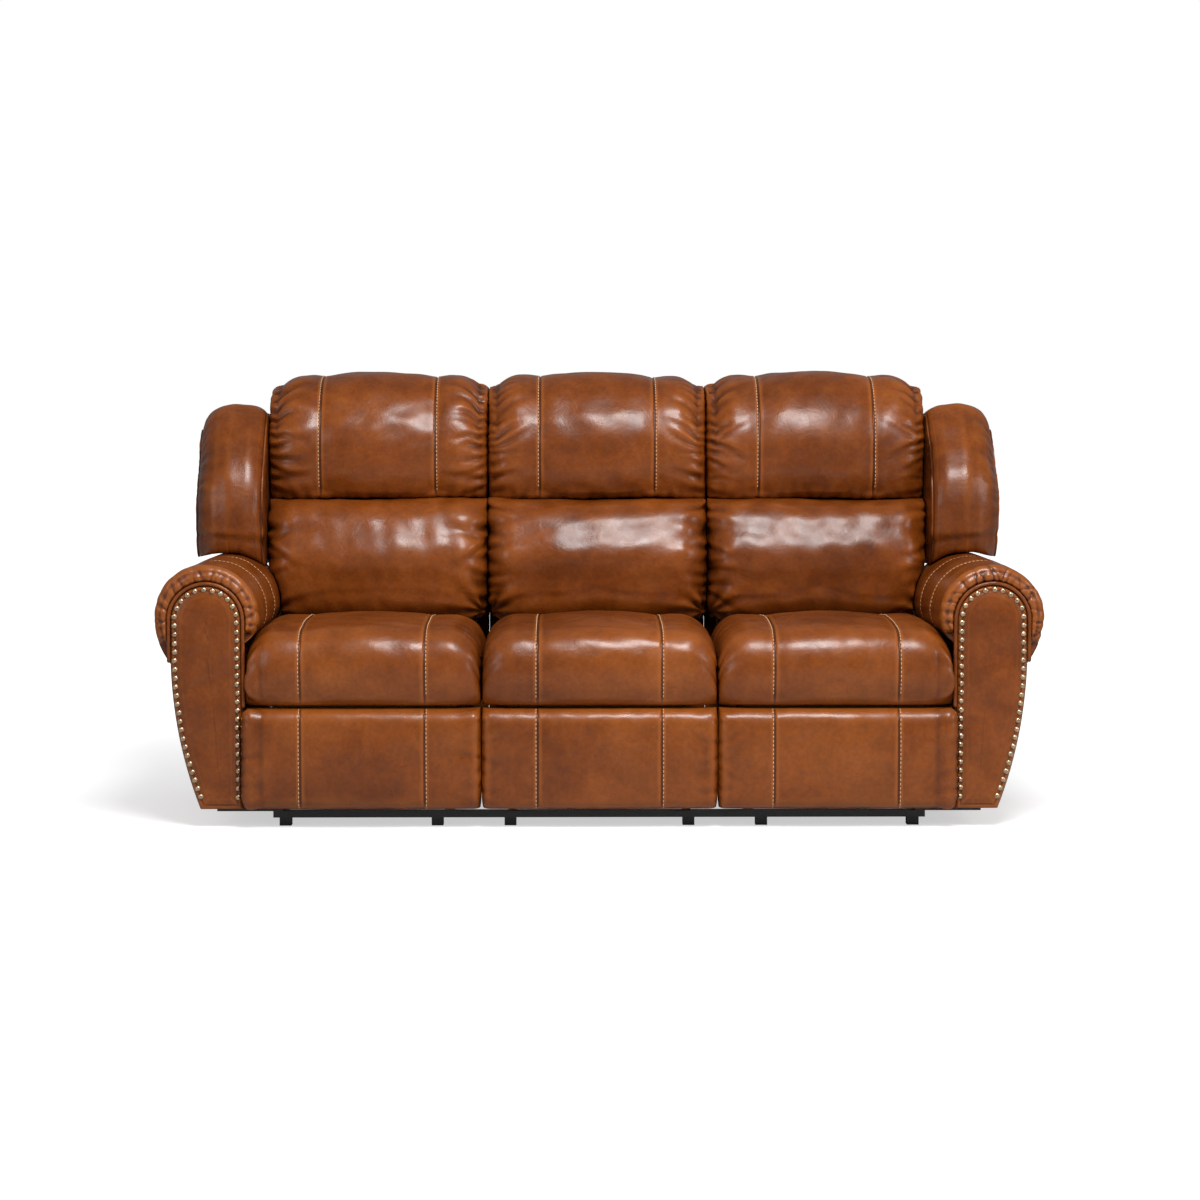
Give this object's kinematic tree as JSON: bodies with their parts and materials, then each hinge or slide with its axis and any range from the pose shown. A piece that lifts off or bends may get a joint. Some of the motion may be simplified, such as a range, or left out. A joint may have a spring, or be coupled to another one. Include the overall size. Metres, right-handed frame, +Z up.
{
  "type": "reclining sofa",
  "caption": "Upholstered leather reclining sofa with rolled arms, winged pillow backs, folding footrests under the outer seats and a wall-saving carriage.",
  "frame": {"origin": "on the floor under the middle of the closed sofa", "axes": "+X along the sofa to the sitter's left, -Y to the front, +Z up"},
  "size_m": [2.186, 1.0165, 1.1141],
  "materials": {
    "leather": "hand-rubbed semi-gloss saddle brown",
    "black_steel": "satin black powder coat",
    "zinc_steel": "zinc plated",
    "spring_steel": "drawn wire",
    "foot_plastic": "moulded black",
    "release_plastic": "moulded dark brown",
    "antique_brass": "antiqued",
    "wood": "plain sawn"
  },
  "bodies": {
    "base": {"arm_nailheads": "antique_brass", "arm_welts": "leather", "base_rails": "black_steel", "centre_back_cover": "leather", "centre_back_cushion": "leather", "centre_back_frame": "wood", "centre_front_pad": "leather", "centre_head_pillow": "leather", "centre_seat_cushion": "leather", "centre_seat_frame": "wood", "centre_seat_springs": "spring_steel", "feet": "foot_plastic", "left_arm_frame": "wood", "left_arm_front_panel": "leather", "left_arm_roll": "leather", "left_arm_side_panels": "leather", "left_release_cup": "release_plastic", "right_arm_frame": "wood", "right_arm_front_panel": "leather", "right_arm_roll": "leather", "right_arm_side_panels": "leather", "right_release_cup": "release_plastic"},
    "left_front_swing": {"left_front_swing_links": "zinc_steel"},
    "left_rear_swing": {"left_rear_swing_links": "zinc_steel"},
    "left_seat": {"left_seat_frame": "wood", "left_seat_springs": "spring_steel", "left_seat_cushion": "leather", "left_mechanism_plates": "zinc_steel"},
    "left_upper_links": {"left_upper_footrest_links": "zinc_steel"},
    "left_lower_links": {"left_lower_footrest_links": "zinc_steel"},
    "left_carrying_links": {"left_carrying_footrest_links": "zinc_steel"},
    "left_guide_links": {"left_guide_footrest_links": "zinc_steel"},
    "left_footrest": {"left_footrest_brackets": "zinc_steel", "left_footrest_board": "wood", "left_footrest_pad": "leather"},
    "left_back": {"left_back_frame": "wood", "left_back_cushion": "leather", "left_head_pillow": "leather", "left_wing": "leather", "left_back_cover": "leather"},
    "left_lever": {"left_release_lever": "release_plastic"},
    "right_front_swing": {"right_front_swing_links": "zinc_steel"},
    "right_rear_swing": {"right_rear_swing_links": "zinc_steel"},
    "right_seat": {"right_seat_frame": "wood", "right_seat_springs": "spring_steel", "right_seat_cushion": "leather", "right_mechanism_plates": "zinc_steel"},
    "right_upper_links": {"right_upper_footrest_links": "zinc_steel"},
    "right_lower_links": {"right_lower_footrest_links": "zinc_steel"},
    "right_carrying_links": {"right_carrying_footrest_links": "zinc_steel"},
    "right_guide_links": {"right_guide_footrest_links": "zinc_steel"},
    "right_footrest": {"right_footrest_brackets": "zinc_steel", "right_footrest_board": "wood", "right_footrest_pad": "leather"},
    "right_back": {"right_back_frame": "wood", "right_back_cushion": "leather", "right_head_pillow": "leather", "right_wing": "leather", "right_back_cover": "leather"},
    "right_lever": {"right_release_lever": "release_plastic"}
  },
  "joints": [
    {"name": "left_front_swing", "type": "hinge", "parent": "base", "child": "left_front_swing", "pos_m": [-0.58, -0.18, 0.07], "axis": [1, 0, 0], "range_deg": [0, 25]},
    {"name": "left_rear_swing", "type": "hinge", "parent": "base", "child": "left_rear_swing", "pos_m": [-0.58, 0.06, 0.07], "axis": [1, 0, 0], "range_deg": [0, 25]},
    {"name": "left_seat_carry", "type": "hinge", "parent": "left_front_swing", "child": "left_seat", "pos_m": [-0.58, -0.15186, 0.19692], "axis": [1, 0, 0], "range_deg": [-25, 0]},
    {"name": "left_back_recline", "type": "hinge", "parent": "left_seat", "child": "left_back", "pos_m": [-0.58, 0.17, 0.3], "axis": [-1, 0, 0], "range_deg": [0, 30]},
    {"name": "left_footrest_open", "type": "hinge", "parent": "left_seat", "child": "left_upper_links", "pos_m": [-0.58, -0.3062, 0.2877], "axis": [-1, 0, 0], "range_deg": [0, 99.9]},
    {"name": "left_lower_link_turn", "type": "hinge", "parent": "left_seat", "child": "left_lower_links", "pos_m": [-0.58, -0.3342, 0.245], "axis": [-1, 0, 0], "range_deg": [0, 104]},
    {"name": "left_carrying_link_turn", "type": "hinge", "parent": "left_upper_links", "child": "left_carrying_links", "pos_m": [-0.58, -0.23788, 0.09792], "axis": [-1, 0, 0], "range_deg": [-118.3, 0]},
    {"name": "left_guide_link_turn", "type": "hinge", "parent": "left_upper_links", "child": "left_guide_links", "pos_m": [-0.58, -0.24973, 0.13085], "axis": [-1, 0, 0], "range_deg": [-118.3, 0]},
    {"name": "left_footrest_turn", "type": "hinge", "parent": "left_carrying_links", "child": "left_footrest", "pos_m": [-0.58, -0.38907, 0.23842], "axis": [-1, 0, 0], "range_deg": [0, 114.4]},
    {"name": "left_lever_pull", "type": "hinge", "parent": "base", "child": "left_lever", "pos_m": [-1.034, -0.2, 0.311], "axis": [0, -1, 0], "range_deg": [0, 30], "stiffness_Nm_per_rad": 0.4},
    {"name": "right_front_swing", "type": "hinge", "parent": "base", "child": "right_front_swing", "pos_m": [0.58, -0.18, 0.07], "axis": [1, 0, 0], "range_deg": [0, 25]},
    {"name": "right_rear_swing", "type": "hinge", "parent": "base", "child": "right_rear_swing", "pos_m": [0.58, 0.06, 0.07], "axis": [1, 0, 0], "range_deg": [0, 25]},
    {"name": "right_seat_carry", "type": "hinge", "parent": "right_front_swing", "child": "right_seat", "pos_m": [0.58, -0.15186, 0.19692], "axis": [1, 0, 0], "range_deg": [-25, 0]},
    {"name": "right_back_recline", "type": "hinge", "parent": "right_seat", "child": "right_back", "pos_m": [0.58, 0.17, 0.3], "axis": [-1, 0, 0], "range_deg": [0, 30]},
    {"name": "right_footrest_open", "type": "hinge", "parent": "right_seat", "child": "right_upper_links", "pos_m": [0.58, -0.3062, 0.2877], "axis": [-1, 0, 0], "range_deg": [0, 99.9]},
    {"name": "right_lower_link_turn", "type": "hinge", "parent": "right_seat", "child": "right_lower_links", "pos_m": [0.58, -0.3342, 0.245], "axis": [-1, 0, 0], "range_deg": [0, 104]},
    {"name": "right_carrying_link_turn", "type": "hinge", "parent": "right_upper_links", "child": "right_carrying_links", "pos_m": [0.58, -0.23788, 0.09792], "axis": [-1, 0, 0], "range_deg": [-118.3, 0]},
    {"name": "right_guide_link_turn", "type": "hinge", "parent": "right_upper_links", "child": "right_guide_links", "pos_m": [0.58, -0.24973, 0.13085], "axis": [-1, 0, 0], "range_deg": [-118.3, 0]},
    {"name": "right_footrest_turn", "type": "hinge", "parent": "right_carrying_links", "child": "right_footrest", "pos_m": [0.58, -0.38907, 0.23842], "axis": [-1, 0, 0], "range_deg": [0, 114.4]},
    {"name": "right_lever_pull", "type": "hinge", "parent": "base", "child": "right_lever", "pos_m": [1.034, -0.2, 0.311], "axis": [0, 1, 0], "range_deg": [0, 30], "stiffness_Nm_per_rad": 0.4}
  ],
  "couplings": [
    {"joint": "left_front_swing", "follows": "left_back_recline", "ratio": 0.83333},
    {"joint": "left_rear_swing", "follows": "left_back_recline", "ratio": 0.83333},
    {"joint": "left_seat_carry", "follows": "left_back_recline", "ratio": -0.83333},
    {"joint": "left_lower_link_turn", "follows": "left_footrest_open", "ratio": 1.04},
    {"joint": "left_carrying_link_turn", "follows": "left_footrest_open", "ratio": -1.1832},
    {"joint": "left_guide_link_turn", "follows": "left_footrest_open", "ratio": -1.1832},
    {"joint": "left_footrest_turn", "follows": "left_footrest_open", "ratio": 1.1441},
    {"joint": "right_front_swing", "follows": "right_back_recline", "ratio": 0.83333},
    {"joint": "right_rear_swing", "follows": "right_back_recline", "ratio": 0.83333},
    {"joint": "right_seat_carry", "follows": "right_back_recline", "ratio": -0.83333},
    {"joint": "right_lower_link_turn", "follows": "right_footrest_open", "ratio": 1.04},
    {"joint": "right_carrying_link_turn", "follows": "right_footrest_open", "ratio": -1.1832},
    {"joint": "right_guide_link_turn", "follows": "right_footrest_open", "ratio": -1.1832},
    {"joint": "right_footrest_turn", "follows": "right_footrest_open", "ratio": 1.1441}
  ]
}
